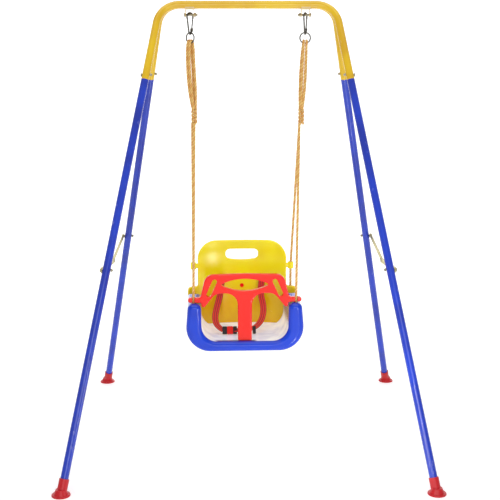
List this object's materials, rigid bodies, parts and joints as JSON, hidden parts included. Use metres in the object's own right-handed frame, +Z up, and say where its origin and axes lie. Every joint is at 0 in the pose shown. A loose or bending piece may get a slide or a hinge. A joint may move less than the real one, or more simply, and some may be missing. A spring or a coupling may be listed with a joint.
{
  "type": "swing set",
  "caption": "Folding A-frame of bent tube with a toddler's bucket seat on ropes, sliding guard and lap harness.",
  "frame": {"origin": "on the floor, below the middle of the frame", "axes": "+X to the right along the top tubes, -Y to the front, +Z up"},
  "size_m": [1.334, 1.278, 1.6576],
  "materials": {
    "yellow_tube": "gloss powder coat",
    "blue_tube": "gloss powder coat",
    "red_foot": "moulded, satin",
    "zinc": "zinc plated",
    "bracket_paint": "semi-gloss",
    "brace_zinc": "yellow passivated zinc",
    "hook_steel": "polished",
    "rope": "twisted strands",
    "blue_plastic": "blow moulded, gloss",
    "yellow_plastic": "blow moulded, gloss",
    "red_plastic": "moulded, gloss",
    "red_webbing": "woven webbing",
    "black_plastic": "fine texture"
  },
  "bodies": {
    "front_frame": {"front_top_tube": "yellow_tube", "front_joint_bolts": "zinc", "front_pivot_bolts": "zinc", "front_leg_nuts": "zinc", "front_left_upper_leg": "blue_tube", "front_left_lower_leg": "blue_tube", "front_left_foot": "red_foot", "front_right_upper_leg": "blue_tube", "front_right_lower_leg": "blue_tube", "front_right_foot": "red_foot", "left_hanger_bracket": "bracket_paint", "right_hanger_bracket": "bracket_paint", "hanger_bolts": "zinc", "hanger_nuts": "zinc"},
    "rear_frame": {"rear_top_tube": "yellow_tube", "rear_joint_bolts": "zinc", "rear_pivot_bolts": "zinc", "rear_leg_nuts": "zinc", "rear_left_upper_leg": "blue_tube", "rear_left_lower_leg": "blue_tube", "rear_left_foot": "red_foot", "rear_right_upper_leg": "blue_tube", "rear_right_lower_leg": "blue_tube", "rear_right_foot": "red_foot", "brace_bushes": "zinc"},
    "front_links": {"left_front_brace": "brace_zinc", "right_front_brace": "brace_zinc", "front_knee_rivets": "zinc"},
    "rear_links": {"left_rear_brace": "brace_zinc", "right_rear_brace": "brace_zinc", "rear_knee_rivets": "zinc"},
    "swing": {"left_snap_hook": "hook_steel", "left_ring": "hook_steel", "left_front_loop": "rope", "left_rear_loop": "rope", "left_front_rope": "rope", "left_rear_rope": "rope", "left_knot": "rope", "left_strap": "red_webbing", "right_snap_hook": "hook_steel", "right_ring": "hook_steel", "right_front_loop": "rope", "right_rear_loop": "rope", "right_front_rope": "rope", "right_rear_rope": "rope", "right_knot": "rope", "right_strap": "red_webbing", "gate_pins": "hook_steel", "rope_stoppers": "rope", "seat_base": "blue_plastic", "backrest": "yellow_plastic", "buckle_tongue": "black_plastic", "buckle_socket": "red_plastic", "buckle_lock": "black_plastic", "strap_adjuster": "black_plastic", "anchor_bars": "zinc", "back_stud": "red_plastic"},
    "left_gate": {"left_hook_gate": "hook_steel"},
    "right_gate": {"right_hook_gate": "hook_steel"},
    "guard": {"guard": "red_plastic"}
  },
  "joints": [
    {"name": "frame_fold", "type": "hinge", "parent": "front_frame", "child": "rear_frame", "pos_m": [0, 0.017, 1.641], "axis": [-1, 0, 0], "range_deg": [0, 36]},
    {"name": "front_brace_fold", "type": "hinge", "parent": "front_frame", "child": "front_links", "pos_m": [0, -0.34793, 0.72056], "axis": [1, 0, 0], "range_deg": [0, 77.01]},
    {"name": "rear_brace_fold", "type": "hinge", "parent": "rear_frame", "child": "rear_links", "pos_m": [0, 0.34793, 0.72056], "axis": [-1, 0, 0], "range_deg": [0, 64.11]},
    {"name": "swing_arc", "type": "hinge", "parent": "front_frame", "child": "swing", "pos_m": [0, 0, 1.605], "axis": [1, 0, 0], "range_deg": [-40, 40]},
    {"name": "left_gate_open", "type": "hinge", "parent": "swing", "child": "left_gate", "pos_m": [-0.20636, 0.00627, 1.55414], "axis": [0.7431, -0.6691, 0], "range_deg": [0, 20], "stiffness_Nm_per_rad": 0.02, "springref_deg": -20.05},
    {"name": "right_gate_open", "type": "hinge", "parent": "swing", "child": "right_gate", "pos_m": [0.21556, 0.00764, 1.55414], "axis": [0.9063, -0.4226, 0], "range_deg": [0, 20], "stiffness_Nm_per_rad": 0.02, "springref_deg": -20.05},
    {"name": "guard_slide", "type": "slide", "parent": "swing", "child": "guard", "axis": [0.0195, 0.1903, 0.9815], "range_m": [0, 0.08]}
  ],
  "couplings": [
    {"joint": "front_brace_fold", "follows": "frame_fold", "ratio": 2.1252},
    {"joint": "rear_brace_fold", "follows": "frame_fold", "ratio": 1.7669}
  ]
}
